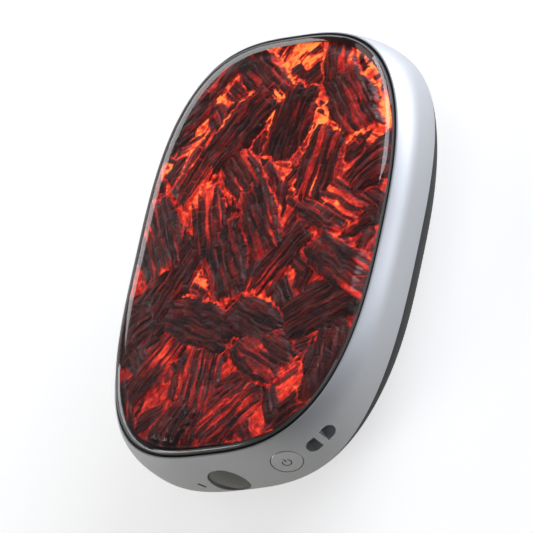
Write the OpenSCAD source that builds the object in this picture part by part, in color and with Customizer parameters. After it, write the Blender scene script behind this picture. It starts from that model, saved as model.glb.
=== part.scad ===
// Rechargeable hand warmer: a pebble of silver frame, dark back shell and clear domed lens.
// It lies on its back: Z is up out of the lens, and the port end faces -Y.

/* [Body] */
// Overall length
body_len = 105; // [100:1:112]
// Overall width
body_w = 74; // [70:1:80]
// Overall height, with the crown of the lens
body_h = 25; // [24.5:0.5:28]
// Power of the oval: 2 is an ellipse, more is squarer
oval_power = 3; // [2.7:0.1:3.3]
// Distance from each end to the flat resting face
foot_end = 17.5; // [15:0.5:19]
// Distance from each side to the flat resting face
foot_side = 9; // [7:0.5:10.5]
// Height at which the sides are widest
side_belly_h = 15.2; // [14:0.1:16]
// Height at which the ends are longest
end_belly_h = 11.4; // [10.8:0.1:12]
// Power of the sides' curve below the widest line
side_power = 2.6; // [2.3:0.1:2.9]
// Power of the ends' curve below the longest line
end_power = 2.8; // [2.5:0.1:3.1]
// Wall of the frame
frame_wall = 2; // [1.8:0.1:2.2]
// Wall of the back shell
back_wall = 1.6; // [1.4:0.1:1.8]

/* [Rim and parting line] */
// Distance from each end to the lens opening
rim_end = 2.15; // [1.6:0.05:3.2]
// Distance from each side to the lens opening
rim_side = 2.7; // [2.2:0.1:3.6]
// Height of the rim at the sides
rim_h = 19.8; // [19.4:0.1:20.2]
// How much higher the rim stands at the ends
rim_lift = 2.7; // [2:0.1:3]
// Height of the parting line at the sides
part_h = 9.6; // [9:0.1:10]
// How much lower the parting line runs at the ends
part_drop = 3.6; // [3.2:0.1:3.8]
// Radius of the bright shoulder round the lens
shoulder_r = 0.6; // [0.4:0.1:0.8]
// Depth of the lens seat below the rim
seat_d = 2.2; // [2:0.1:2.4]
// Width of the ledge under the lens
ledge_w = 3.4; // [3.2:0.1:3.8]
// Thickness of the ledge under the lens
ledge_t = 1.4; // [1.2:0.1:1.6]

/* [Lens and ember panel] */
// Wall of the lens at its edge
lens_wall = 1.6; // [1.4:0.1:1.8]
// Thickness of the lens at its crown
lens_crown_t = 2; // [1.6:0.1:2.4]
// Power of the lens dome: more is flatter with a tighter edge
dome_power = 10; // [8:1:12]
// Thickness of the gasket round the lens
gasket_t = 0.5; // [0.4:0.05:0.6]
// Thickness of the ember panel's base
ember_base_t = 1.2; // [1:0.1:1.4]
// Height of a charred piece above the panel's base
coal_h = 1.9; // [1.5:0.1:2.2]
// Rows of charred pieces on the ember panel
ember_rows = 8; // [7:1:9]
// Columns of charred pieces on the ember panel
ember_cols = 4; // [3:1:5]
// Thickness of the light diffuser
diffuser_t = 0.8; // [0.6:0.1:1]
// Thickness of the light board
light_board_t = 0.8; // [0.6:0.1:1]
// Height of a panel lamp
lamp_h = 0.7; // [0.5:0.1:0.8]

/* [Port end] */
// Height of the charging port
port_h = 12.9; // [12.7:0.1:13.1]
// Diameter of the port plug
plug_d = 9.4; // [9:0.1:9.8]
// Depth of the plug's pocket
pocket_d = 2.6; // [2.4:0.1:2.8]
// Rise of the plug's dome
plug_rise = 0.5; // [0.3:0.1:0.6]
// How far the plug pulls out on its leg
plug_pull = 8; // [7:0.5:9]
// Diameter of the plug's leg
leg_d = 1.3; // [1.1:0.1:1.4]
// Diameter of the power button
button_d = 7; // [6.6:0.1:7.4]
// Distance of the power button from the middle
button_x = 17.3; // [16.9:0.1:17.7]
// How far the button stands above the port
button_rise = 2.2; // [2.0:0.1:2.4]
// Travel of the power button
button_travel = 0.5; // [0.3:0.1:0.6]
// Distance of the lanyard slot from the middle
slot_x = 25.6; // [25.2:0.1:26]
// How far the lanyard slot stands above the port
slot_rise = 2.2; // [2.0:0.1:2.4]
// Length of the lanyard slot
slot_len = 7.8; // [7.4:0.1:8.2]
// Width of the lanyard slot
slot_w = 3.5; // [3.3:0.1:3.7]
// Width of the bar across the lanyard slot
bar_w = 1.5; // [1.3:0.1:1.7]
// Depth of the pocket behind the lanyard bar
slot_d = 3.2; // [3:0.1:3.4]
// Distance of the status window from the middle
window_x = -8; // [-8.4:0.1:-7.6]
// How far the status window lies below the port
window_drop = 0.5; // [0.3:0.1:0.7]
// Length of the status window
window_len = 2.2; // [2:0.1:2.4]
// Width of the status window
window_w = 0.8; // [0.7:0.05:0.9]

/* [Battery and boards] */
// Distance from each side to the battery cell
cell_side = 13; // [12.5:0.5:14]
// Distance from the port end to the battery cell
cell_port_end = 22.5; // [22.5:0.5:25]
// Distance from the far end to the battery cell
cell_far_end = 18.5; // [17.5:0.5:22]
// Height of the battery cell
cell_h = 8; // [7.6:0.1:8.1]
// Thickness of the heating film
film_t = 0.3; // [0.2:0.05:0.4]
// Thickness of the insulation pad
pad_t = 1.5; // [1.3:0.1:1.6]
// Thickness of the foam strips over the cell
foam_t = 0.7; // [0.6:0.05:0.8]
// Thickness of the chassis plate
chassis_t = 1.2; // [1:0.1:1.3]
// Thickness of the control board
board_t = 1; // [0.8:0.1:1.2]
// Diameter of the chassis screws
screw_d = 2; // [1.8:0.1:2.2]

/* [Hidden] */
$fn = 48;

// Clearances
seam = 0.1;
glue = 0.05;
slide_gap = 0.15;
loose_gap = 0.3;
hair = 0.01;
// How far a cut runs on past what it cuts
past = 2;

// Points round each oval
steps = 72;

half_len = body_len / 2;
half_w = body_w / 2;
foot_a = half_w - foot_side;
foot_b = half_len - foot_end;
rim_a = half_w - rim_side;
rim_b = half_len - rim_end;
ledge_h = rim_h - seat_d;
shoulder_from = 45;
shoulder_w = shoulder_r * cos(shoulder_from);
skin_top_h = rim_h - shoulder_r + shoulder_r * sin(shoulder_from);

// Stack of heights from the resting face up
film_h = back_wall;
pad_h = film_h + film_t;
cell_bottom = pad_h + pad_t + loose_gap;
cell_top = cell_bottom + cell_h;
socket_w = 8.94;
socket_h = 3.26;
socket_len = 7.35;
socket_wall = 0.3;
// Heights of the controls on the port end
button_h = port_h + button_rise;
slot_h = port_h + slot_rise;
window_h = port_h - window_drop;

board_top = port_h - socket_h / 2;
board_bottom = board_top - board_t;
chip_h = 0.9;
chassis_h = max(cell_top + foam_t, board_top + chip_h + seam);
light_board_h = chassis_h + chassis_t;
lamp_top = light_board_h + light_board_t + lamp_h;
diffuser_h = lamp_top + loose_gap;

// The boards at the port end keep their distance from that end
pocket_wall = 1.5;
board_gap = 0.4;
board_front = -half_len + pocket_d + pocket_wall + board_gap;
board_len = 15;
well_y = board_front + 12;
chassis_front = board_front + 10;

// A level line rises or drops towards the ends; at the very ends it stands at end_h
function level_rise(h) = rim_lift * (h / rim_h) * (h - part_h) / (rim_h - part_h);
function level_drop(h) = part_drop * (h / part_h) * (rim_h - h) / (rim_h - part_h);
function end_h(h) = h + level_rise(h) - level_drop(h);
function bend(h, rise, drop, share) = h + rise * pow(share, 2) - drop * pow(share, 4);

// Half width at the sides and half length at the ends, at a height
function above(z, belly, top, belly_h, top_h) =
    belly - (belly - top) * pow((z - belly_h) / (top_h - belly_h), 2);
function below(z, belly, foot, belly_h, power) =
    let (reach = belly_h / pow(1 - pow(foot / belly, power), 1 / power))
    belly * pow(1 - pow((belly_h - z) / reach, power), 1 / power);
function side_a(z) = z > side_belly_h
    ? above(z, half_w, rim_a + shoulder_w, side_belly_h, skin_top_h)
    : below(z, half_w, foot_a, side_belly_h, side_power);
function end_b(z) = z > end_belly_h
    ? above(z, half_len, rim_b + shoulder_w, end_belly_h, end_h(skin_top_h))
    : below(z, half_len, foot_b, end_belly_h, end_power);

// Half sizes of the hollow in the back shell, one wall inside the skin
function side_lean(z) = side_a(z + hair) - side_a(z);
function end_lean(z) = end_b(z + hair) - end_b(z);
function hollow_a(z) = side_a(z) - back_wall * norm([side_lean(z), hair]) / hair;
function hollow_b(z) = end_b(z) - back_wall * norm([end_lean(z), hair]) / hair;

// Points of the oval with half width a and half length b
function oval_point(a, b, turn) =
    let (c = abs(cos(turn)), s = abs(sin(turn)),
        u = pow(pow(c, oval_power) + pow(s, oval_power), -1 / oval_power))
    [a * u * cos(turn), b * u * sin(turn)];
function oval(a, b) = [for (i = [0:steps - 1]) oval_point(a, b, 360 * i / steps)];
function ring(a, b, h, rise, drop = 0) =
    [for (p = oval(a, b)) [p.x, p.y, bend(h, rise, drop, p.y / b)]];
function skin_ring(h, inset = 0) =
    ring(side_a(h) - inset, end_b(end_h(h)) - inset, h, level_rise(h), level_drop(h));
function hollow_ring(z) = ring(hollow_a(z), hollow_b(z), z, 0);
function spread(low, high, count) = [for (i = [0:count]) low + (high - low) * i / count];

// Side faces between rings that run on from one to the next
function band(first, second, count) = [for (j = [0:count - 1])
    let (k = (j + 1) % count)
    each [[first + j, second + k, first + k], [first + j, second + j, second + k]]];

// A closed loop of rings, as a hollow hoop
module hoop(rings) {
    count = len(rings[0]);
    total = len(rings);
    polyhedron([for (r = rings) each r],
        [for (i = [0:total - 1]) each band(i * count, ((i + 1) % total) * count, count)]);
}

// Rings from the middle of the underside, round the edge, to the middle of the top
module closed_skin(rings, low_point, high_point) {
    count = len(rings[0]);
    total = len(rings);
    low = total * count;
    high = low + 1;
    last = (total - 1) * count;
    polyhedron([for (r = rings) each r, low_point, high_point],
        [for (i = [0:total - 2]) each band(i * count, (i + 1) * count, count),
            for (j = [0:count - 1]) [low, j, (j + 1) % count],
            for (j = [0:count - 1]) [high, last + (j + 1) % count, last + j]]);
}

// Place and direction of the wall near the port end
function wall_y(x, z) =
    -end_b(z) * pow(1 - pow(abs(x) / half_w, oval_power), 1 / oval_power);
function wall_turn(x, z) = let (b = end_b(z), p = oval_power - 1)
    atan2(sign(x) * pow(abs(x) / half_w, p) / half_w, pow(abs(wall_y(x, z)) / b, p) / b);

// Local Z out of the wall, local Y up
module on_wall(x, z) {
    translate([x, wall_y(x, z), z]) rotate([90, 0, wall_turn(x, z)]) children();
}
module at_port() {
    translate([0, -half_len, port_h]) rotate([90, 0, 0]) children();
}
module bar_between(low, high) {
    translate([0, 0, low]) linear_extrude(high - low) children();
}
module stadium(w, h) {
    square([w - h, h], center = true);
    for (side = [-1, 1]) translate([side * (w - h) / 2, 0]) circle(d = h);
}
module soft_square(w, l, r) {
    square([w - 2 * r, l], center = true);
    square([w, l - 2 * r], center = true);
    for (sx = [-1, 1], sy = [-1, 1]) translate([sx * (w / 2 - r), sy * (l / 2 - r)]) circle(r);
}

// A tube along points, mitred at each bend
function unit(v) = v / norm(v);
function heading(path, i) = i == 0 ? unit(path[1] - path[0])
    : i == len(path) - 1 ? unit(path[i] - path[i - 1])
    : unit(unit(path[i] - path[i - 1]) + unit(path[i + 1] - path[i]));
module wire(path, d, side = [1, 0, 0]) {
    sides = 8;
    count = len(path);
    points = [for (i = [0:count - 1]) let (t = heading(path, i), n = unit(cross(t, side)),
        bend = i == 0 || i == count - 1 ? 1 : 1 / (t * unit(path[i + 1] - path[i])))
        for (j = [0:sides - 1]) let (turn = 360 * j / sides)
            path[i] + d / 2 * (cos(turn) * unit(side) + sin(turn) * bend * n)];
    faces = [for (i = [0:count - 2]) each band(i * sides, (i + 1) * sides, sides),
        [for (j = [0:sides - 1]) j],
        [for (j = [sides - 1:-1:0]) (count - 1) * sides + j]];
    polyhedron(points, [for (f = faces) [for (k = [len(f) - 1:-1:0]) f[k]]]);
}

// Frame: hoop of the outer skin, bright shoulder, lens seat, ledge and inner wall
module frame_hoop() {
    skin = spread(part_h, skin_top_h, 8);
    under_ledge = ledge_h - ledge_t;
    lip_a = rim_a - ledge_w;
    lip_b = rim_b - ledge_w;
    hoop([
        for (h = skin) skin_ring(h),
        for (turn = [65, 90]) let (out = shoulder_r * cos(turn))
            ring(rim_a + out, rim_b + out, rim_h - shoulder_r + shoulder_r * sin(turn), rim_lift),
        ring(rim_a, rim_b, ledge_h, rim_lift),
        ring(lip_a, lip_b, ledge_h, rim_lift),
        ring(lip_a, lip_b, under_ledge, rim_lift),
        ring(side_a(under_ledge) - frame_wall, end_b(under_ledge + rim_lift) - frame_wall,
            under_ledge, rim_lift),
        for (h = spread(under_ledge - ledge_t, part_h, 4)) skin_ring(h, frame_wall)
    ]);
}

boss_from = -1.4;
pocket_r = plug_d / 2 + slide_gap;
port_boss_r = pocket_r + 1.4;
port_floor = -pocket_d;
leg_drop = 3.8;
leg_hole_r = leg_d / 2 + 0.2;
module port_boss() {
    at_port() bar_between(port_floor - pocket_wall, boss_from) circle(port_boss_r);
}
module port_cut() {
    at_port() {
        bar_between(port_floor, past) circle(pocket_r);
        bar_between(port_floor - 2 * pocket_wall, port_floor + hair)
            stadium(socket_w + 2 * slide_gap, socket_h + 2 * slide_gap);
        translate([0, -leg_drop]) bar_between(port_floor - 2 * pocket_wall, port_floor + hair)
            circle(leg_hole_r);
    }
}

slot_wall = 0.8;
bar_d = 1.4;
module slot_boss() {
    on_wall(slot_x, slot_h) bar_between(-slot_d - slot_wall, boss_from)
        stadium(slot_len + 2 * slot_wall, slot_w + 2 * slot_wall);
}
module slot_cut() {
    on_wall(slot_x, slot_h) {
        for (side = [-1, 1]) bar_between(-slot_d, past) intersection() {
            stadium(slot_len, slot_w);
            translate([side * (slot_len + bar_w) / 4, 0])
                square([(slot_len - bar_w) / 2, slot_w], center = true);
        }
        bar_between(-slot_d, -bar_d) square([bar_w + hair, slot_w], center = true);
    }
}

button_r = button_d / 2;
flange_r = button_r + 0.8;
flange_trim = [1.3, 1];
flange_from = -3;
flange_t = 0.8;
stem_r = 1.7;
stem_len = 1.2;
switch_face = flange_from - flange_t - stem_len - 1;
switch_depth = 3.4;
plunger_r = 1.3;
module flange_shape(gap) {
    low = flange_trim.y - flange_r - gap;
    intersection() {
        circle(flange_r + gap);
        translate([-flange_r - gap, low])
            square([2 * flange_r + 2 * gap - flange_trim.x, -2 * low]);
    }
}
module button_cut() {
    on_wall(button_x, button_h) {
        bar_between(flange_from, past) circle(button_r + slide_gap);
        bar_between(switch_face, flange_from + seam) flange_shape(slide_gap);
    }
}

window_lean = 28;
module window_shape(gap) {
    rotate(90 + window_lean) stadium(window_len + 2 * gap, window_w + 2 * gap);
}
module window_cut() {
    on_wall(window_x, window_h) bar_between(-2 * frame_wall, past) window_shape(glue);
}

screw_boss_r = 2.3;
boss_embed = 0.15;
screw_y = half_len - 22;
screw_x = (side_a(ledge_h - ledge_t) - frame_wall)
    * pow(1 - pow(screw_y / (half_len - frame_wall), oval_power), 1 / oval_power)
    - screw_boss_r + boss_embed;
boss_h = light_board_h + seam;
module at_screws() {
    for (sx = [-1, 1], sy = [-1, 1]) translate([sx * screw_x, sy * screw_y]) children();
}
module screw_bosses() {
    boss_top = bend(ledge_h - ledge_t / 2, rim_lift, 0, screw_y / rim_b);
    at_screws() translate([0, 0, boss_h]) cylinder(h = boss_top - boss_h, r = screw_boss_r);
}
screw_reach = 2.2;
bore_spare = 0.4;
module screw_bores() {
    at_screws() translate([0, 0, boss_h - hair])
        cylinder(h = screw_reach + bore_spare, d = screw_d + 2 * glue);
}

module mid_frame() {
    color("silver") difference() {
        union() {
            frame_hoop();
            port_boss();
            slot_boss();
            screw_bosses();
        }
        port_cut();
        slot_cut();
        button_cut();
        window_cut();
        screw_bores();
    }
}

// Back shell: pebble bottom with a flat foot, and a tongue that locates in the frame
tongue_h = 1.4;
tongue_t = 1;
module back_skin() {
    top = part_h - seam;
    outer = frame_wall + slide_gap;
    inner = outer + tongue_t;
    high = part_h + tongue_h;
    low = part_h - tongue_h;
    closed_skin([
        for (h = spread(0, top, 8)) skin_ring(h),
        for (ring_at = [[top, outer], [high, outer], [high, inner], [low, inner]])
            skin_ring(ring_at[0], ring_at[1]),
        for (z = spread(end_h(low) - 1, back_wall, 3)) hollow_ring(z)
    ], [0, 0, 0], [0, 0, back_wall]);
}
module back_cover() {
    color("dimgray") difference() {
        back_skin();
        at_port() bar_between(port_floor - pocket_wall - past, -back_wall)
            circle(port_boss_r + slide_gap);
    }
}

// Lens: clear cap with a round-edged dome and an upright wall that stands on the ledge
lens_a = rim_a - gasket_t - glue;
lens_b = rim_b - gasket_t - glue;
function dome_ring(share, a, b, crown) =
    let (rise = pow(1 - pow(share, dome_power), 0.5))
    [for (p = oval(a, b)) let (edge = bend(rim_h, rim_lift, 0, p.y / b))
        [p.x * share, p.y * share, edge + (crown - edge) * rise]];
module front_lens() {
    inner_a = lens_a - lens_wall;
    inner_b = lens_b - lens_wall;
    under = body_h - lens_crown_t;
    foot = ledge_h + glue;
    color("whitesmoke", 0.4) closed_skin([
        for (share = [0.35, 0.6, 0.78, 0.9, 0.97, 1]) dome_ring(share, inner_a, inner_b, under),
        ring(inner_a, inner_b, foot, rim_lift),
        ring(lens_a, lens_b, foot, rim_lift),
        for (share = [1, 0.995, 0.98, 0.95, 0.9, 0.83, 0.72, 0.55, 0.3])
            dome_ring(share, lens_a, lens_b, body_h)
    ], [0, 0, under], [0, 0, body_h]);
}
module lens_gasket() {
    outer_a = rim_a - glue;
    outer_b = rim_b - glue;
    low = ledge_h + glue;
    high = rim_h - seam;
    color("black") hoop([
        ring(outer_a, outer_b, low, rim_lift), ring(outer_a, outer_b, high, rim_lift),
        ring(lens_a + hair, lens_b + hair, high, rim_lift),
        ring(lens_a + hair, lens_b + hair, low, rim_lift)
    ]);
}

// Ember panel: sheet that is bent like the ledge it lies on, with charred pieces heaped on it
ember_a = lens_a - lens_wall - loose_gap;
ember_b = lens_b - lens_wall - loose_gap;
flat_share = (rim_a - ledge_w - seam) / ember_a;
function saddle(h, y) = bend(h, rim_lift, 0, y / (flat_share * ember_b));
function sheet_ring(share, h) = [for (p = oval(ember_a, ember_b))
    [p.x * share, p.y * share, saddle(h, p.y * min(share, flat_share))]];
sheet_low = ledge_h + glue;
sheet_high = sheet_low + ember_base_t;
module ember_sheet() {
    closed_skin([
        for (share = [0.35, 0.7, flat_share, 1]) sheet_ring(share, sheet_low),
        for (share = [1, flat_share, 0.7, 0.35]) sheet_ring(share, sheet_high)
    ], [0, 0, sheet_low], [0, 0, sheet_high]);
}

// A scatter between -1 and 1 that comes out alike at every build
function chance(i, seed) = 2 * ((i * i * seed) % 1) - 1;

// One charred piece: an uneven six-sided block with a bevelled, leaning top
coal_outline = [[-0.5, -0.3], [-0.05, -0.5], [0.44, -0.38], [0.5, 0.34], [0.1, 0.5], [-0.42, 0.42]];
coal_sink = ember_base_t - 0.2;
coal_shoulder = 0.45;
coal_crown = 0.76;
function coal_point(at, turn, p) =
    [at.x + p.x * cos(turn) - p.y * sin(turn), at.y + p.x * sin(turn) + p.y * cos(turn)];
function coal_ring(at, turn, size, share, height, lean) = [for (p = coal_outline)
    let (q = coal_point(at, turn, [p.x * size.x, p.y * size.y] * share))
    [q.x, q.y, saddle(sheet_high, q.y) + height * (1 + lean * p.x)]];
module coal(at, turn, size, lean) {
    rings = [
        coal_ring(at, turn, size, 1, -coal_sink, 0),
        coal_ring(at, turn, size, 1, size.z * coal_shoulder, lean),
        coal_ring(at, turn, size, coal_crown, size.z, lean)
    ];
    low = saddle(sheet_high, at.y) - coal_sink;
    high = saddle(sheet_high, at.y) + size.z;
    closed_skin(rings, [at.x, at.y, low], [at.x, at.y, high]);
}

// Staggered rows of pieces; they get lower towards the ends, where the lens comes down
coal_pitch = [2 * ember_a / ember_cols, 2 * ember_b / ember_rows];
stagger = [0.25, 0.75];
function scattered(mean, spread, i, seed) = mean + spread * chance(i, seed);
module coals() {
    end_thin = 0.5;
    for (row = [0:ember_rows - 1], col = [0:ember_cols - 1]) {
        i = row * ember_cols + col + 1;
        x = (col + scattered(stagger[row % 2], 0.22, i, 0.618034)) * coal_pitch.x - ember_a;
        y = (row + scattered(0.5, 0.25, i, 0.754878)) * coal_pitch.y - ember_b;
        length = coal_pitch.x * scattered(1.35, 0.25, i, 0.819173);
        width = coal_pitch.y * scattered(0.95, 0.2, i, 0.324718);
        height = coal_h * scattered(0.75, 0.25, i, 0.445042) * (1 - end_thin * pow(y / ember_b, 2));
        coal([x, y], scattered(90, 70, i, 0.56984), [length, width, height],
            scattered(0, 0.3, i, 0.220744));
    }
}
module ember_panel() {
    coal_limit = body_h - lens_crown_t - 2 * loose_gap;
    edge = 1;
    color("maroon") union() {
        ember_sheet();
        intersection() {
            bar_between(ledge_h, coal_limit) polygon(oval(ember_a - edge, ember_b - edge));
            coals();
        }
    }
}

// Light well under the ember panel, cut straight at the port end
well_wall = 1.2;
well_a = rim_a - ledge_w - loose_gap;
well_b = rim_b - ledge_w - loose_gap;
module well_shape(inset) {
    intersection() {
        polygon(oval(well_a - inset, well_b - inset));
        translate([-body_w, well_y + inset]) square([2 * body_w, body_len]);
    }
}
module light_diffuser() {
    color("ivory") bar_between(diffuser_h, diffuser_h + diffuser_t) well_shape(0);
}
module light_board() {
    color("darkgreen") bar_between(light_board_h, light_board_h + light_board_t)
        well_shape(well_wall + loose_gap);
}
module panel_leds() {
    lamp = [2, 1.6];
    cols = 4;
    rows = 5;
    pitch = [2 * well_a / (cols + 1), (well_b - well_y) / (rows + 1)];
    color("moccasin") for (col = [1:cols], row = [1:rows])
        translate([col * pitch.x - well_a, well_y + row * pitch.y, light_board_h + light_board_t])
            translate([-lamp.x / 2, -lamp.y / 2]) cube([lamp.x, lamp.y, lamp_h]);
}

// Chassis: plate with the light well above, the cell's box below and two board posts
cell_w = 2 * (half_w - cell_side);
cell_len = body_len - cell_port_end - cell_far_end;
cell_front = cell_port_end - half_len;
cell_y = cell_front + cell_len / 2;
cell_gap = 0.4;
box_wall = 1;
box_lift = 2;
post_x = 19;
post_y = board_front + 12.5;
post_r = 2;
board_screw_d = 1.6;
board_screw_reach = 1.2;
post_bore = 1.5;
module chassis_plate_shape() {
    a = side_a(chassis_h) - frame_wall - loose_gap;
    b = end_b(chassis_h) - frame_wall - loose_gap;
    intersection() {
        polygon(oval(a, b));
        translate([-body_w, chassis_front]) square([2 * body_w, body_len]);
    }
}
module cell_box() {
    w = cell_w + 2 * cell_gap;
    l = cell_len + 2 * cell_gap;
    low = cell_bottom + box_lift;
    difference() {
        translate([0, cell_y]) bar_between(low, chassis_h + hair) difference() {
            soft_square(w + 2 * box_wall, l + 2 * box_wall, 3);
            soft_square(w, l, 2);
        }
        translate([-body_w, cell_y - l, low - past]) cube([2 * body_w, l / 2, chassis_h]);
    }
}
module inner_chassis() {
    color("darkslategray") difference() {
        union() {
            bar_between(chassis_h, light_board_h) chassis_plate_shape();
            bar_between(light_board_h - hair, diffuser_h) difference() {
                well_shape(0);
                well_shape(well_wall);
            }
            cell_box();
            for (side = [-1, 1]) translate([side * post_x, post_y, board_top])
                cylinder(h = chassis_h - board_top + hair, r = post_r);
        }
        at_screws() translate([0, 0, chassis_h - past])
            cylinder(h = chassis_t + 2 * past, d = screw_d + 2 * slide_gap);
        for (side = [-1, 1]) translate([side * post_x, post_y, board_top - past])
            cylinder(h = past + post_bore, d = board_screw_d + 2 * glue);
    }
}
// A small pan-head screw, driven upwards
module screw(d, head_h, reach) {
    head_r = 0.85 * d;
    translate([0, 0, -head_h]) difference() {
        cylinder(h = head_h, r = head_r);
        translate([0, 0, -hair]) cylinder(h = head_h / 2, d = 0.55 * d, $fn = 6);
    }
    cylinder(h = reach, d = d);
}
module chassis_screws() {
    color("dimgray") at_screws() translate([0, 0, chassis_h])
        screw(screw_d, 1.2, chassis_t + screw_reach);
}
module board_screws() {
    color("dimgray") for (side = [-1, 1]) translate([side * post_x, post_y, board_bottom])
        screw(board_screw_d, 1, board_t + board_screw_reach);
}

// Battery with its tabs, protection board and foam
guard_gap = 1.2;
guard = [26, 0.8, 5];
guard_h = cell_bottom + cell_h / 2 - guard.z / 2;
tab = [4, guard_gap, 0.3];
tab_x = 9;
module battery_cell() {
    color("lightsteelblue") translate([0, cell_y])
        bar_between(cell_bottom, cell_top) soft_square(cell_w, cell_len, 1.5);
}
module cell_tabs() {
    color("silver") for (side = [-1, 1])
        translate([side * tab_x - tab.x / 2, cell_front - guard_gap, guard_h + guard.z / 2])
            cube(tab);
}
module protection_board() {
    color("green") translate([-guard.x / 2, cell_front - guard_gap - guard.y, guard_h])
        cube(guard);
}
module cell_foam() {
    strip_w = 6;
    strip_end = 6.4;
    color("gray") for (side = [-1, 1]) translate([side * cell_w / 3, cell_y])
        bar_between(cell_top, chassis_h) soft_square(strip_w, cell_len - 2 * strip_end, 1);
}

// Heater on the floor of the back shell, with insulation over it
film_edge = 2;
film_a = hollow_a(back_wall) - film_edge;
film_b = hollow_b(back_wall) - film_edge;
film_tail = 12;
tail_len = 0.6;
tail_y = -film_b - tail_len;
module heating_film() {
    color("orange") bar_between(film_h, film_h + film_t) {
        polygon(oval(film_a, film_b));
        translate([-film_tail, tail_y]) square([2 * film_tail, -tail_y]);
    }
}
pad_setback = 5;
module insulation_pad() {
    color("whitesmoke") bar_between(pad_h, pad_h + pad_t) intersection() {
        polygon(oval(film_a, film_b));
        translate([-film_a, tail_y + pad_setback]) square([2 * film_a, 2 * film_b]);
    }
}
module heater_sensor() {
    sensor = [3, 1.6, 1];
    color("black") translate([-sensor.x / 2, tail_y + 1, pad_h]) cube(sensor);
}

// Control board and what stands on it
board_half_w = 23;
module control_board() {
    a = side_a(board_bottom) - frame_wall - board_gap;
    color("green") difference() {
        bar_between(board_bottom, board_top) intersection() {
            polygon(oval(a, half_len - frame_wall - board_gap));
            translate([-board_half_w, board_front]) square([2 * board_half_w, board_len]);
        }
        for (side = [-1, 1]) translate([side * post_x, post_y, board_bottom - past])
            cylinder(h = board_t + 2 * past, d = board_screw_d + 2 * slide_gap);
    }
}
module on_board(x, from_front, size) {
    translate([x - size.x / 2, board_front + from_front - size.y / 2, board_top]) cube(size);
}
module control_chips() {
    color("black") {
        on_board(-17, 7, [5, 5, chip_h]);
        on_board(2, 9.4, [4, 4, chip_h]);
        on_board(9, 9.4, [3, 3, chip_h]);
    }
}
module power_coil() {
    color("gray") on_board(-8.2, 6.4, [5.4, 5.4, 2.8]);
}
socket_back = pocket_d + socket_len;
module charging_socket() {
    color("silver") at_port() {
        difference() {
            bar_between(-socket_back, port_floor) stadium(socket_w, socket_h);
            bar_between(-socket_back + 1, 0)
                stadium(socket_w - 2 * socket_wall, socket_h - 2 * socket_wall);
        }
    }
}
module socket_tongue() {
    color("black") at_port() bar_between(-socket_back + 1, port_floor - 1.6)
        square([6.7, 0.7], center = true);
}
module button_switch() {
    body_w2 = 6.2;
    top = button_h + 2;
    color("silver") difference() {
        on_wall(button_x, button_h) translate([0, (board_top + top) / 2 - button_h])
            bar_between(switch_face - switch_depth, switch_face)
            square([body_w2, top - board_top], center = true);
        on_wall(button_x, button_h) bar_between(switch_face - 1.4, 0) circle(plunger_r + slide_gap);
    }
}
module switch_plunger() {
    color("black") on_wall(button_x, button_h)
        bar_between(switch_face - 0.6, flange_from - flange_t - stem_len) circle(plunger_r);
}
module status_led() {
    color("white") on_board(window_x, 0.8, [1.6, 0.8, 0.7]);
}
module status_window() {
    color("black") on_wall(window_x, window_h) bar_between(-4.2, -0.15) window_shape(0);
}

// Power button: flush cap whose face follows the skin, with flange and stem behind
module power_button() {
    color("silver") union() {
        intersection() {
            on_wall(button_x, button_h) bar_between(flange_from - hair, past) circle(button_r);
            closed_skin([for (h = spread(part_h, skin_top_h, 8)) skin_ring(h)],
                [0, 0, part_h], [0, 0, skin_top_h]);
        }
        on_wall(button_x, button_h) {
            bar_between(flange_from - flange_t, flange_from) flange_shape(0);
            bar_between(flange_from - flange_t - stem_len, flange_from) circle(stem_r);
        }
    }
}

// Port plug: domed head, nose that fits the socket and a leg that keeps it on the body
module port_plug() {
    r = plug_d / 2;
    globe_r = (r * r + plug_rise * plug_rise) / (2 * plug_rise);
    back = port_floor + seam;
    leg_end = port_floor - pocket_wall - plug_pull - seam;
    barb = 1.6;
    color("dimgray") at_port() {
        rotate_extrude() polygon([[0, back], [r, back], [r, -plug_rise],
            for (i = [6:-1:0]) let (x = r * i / 7)
                [x, -globe_r + sqrt(globe_r * globe_r - x * x)]]);
        difference() {
            bar_between(back - 3, back + hair) stadium(socket_w - 1.1, socket_h - 1.1);
            bar_between(back - 4, back - 1) square([7, 1], center = true);
        }
        translate([0, -leg_drop]) {
            bar_between(leg_end - hair, back + hair) circle(leg_d / 2);
            translate([0, 0, leg_end - barb]) cylinder(h = barb, r1 = leg_d / 2, r2 = leg_d / 2 + 0.3);
        }
    }
}

// Leads
module battery_leads() {
    start = [0, cell_front - guard_gap - guard.y, guard_h + 1.5];
    color("red") for (side = [-1, 1]) {
        x = side * 5;
        wire([[x, start.y, start.z], [x, start.y - 3, start.z],
            [x, start.y - 4, start.z + 1], [x, start.y - 4, board_bottom]], 1);
    }
}
module heater_leads() {
    color("black") for (side = [-1, 1]) {
        x = side * 9;
        wire([[x, tail_y + 1, pad_h], [x, tail_y + 1, pad_h + 3],
            [x, tail_y - 1, pad_h + 5], [x, tail_y - 1, board_bottom]], 0.9);
    }
}

front_lens();
lens_gasket();
ember_panel();
light_diffuser();
light_board();
panel_leds();
mid_frame();
back_cover();
inner_chassis();
chassis_screws();
board_screws();
battery_cell();
cell_tabs();
protection_board();
cell_foam();
heating_film();
heater_sensor();
insulation_pad();
control_board();
control_chips();
power_coil();
charging_socket();
socket_tongue();
button_switch();
switch_plunger();
power_button();
port_plug();
status_window();
status_led();
battery_leads();
heater_leads();
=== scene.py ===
"""Builds the looks of a rechargeable hand warmer: a silver frame, a dark back shell and a clear
domed lens over a bed of embers. It lies on its back, with Z up out of the lens."""

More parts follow.
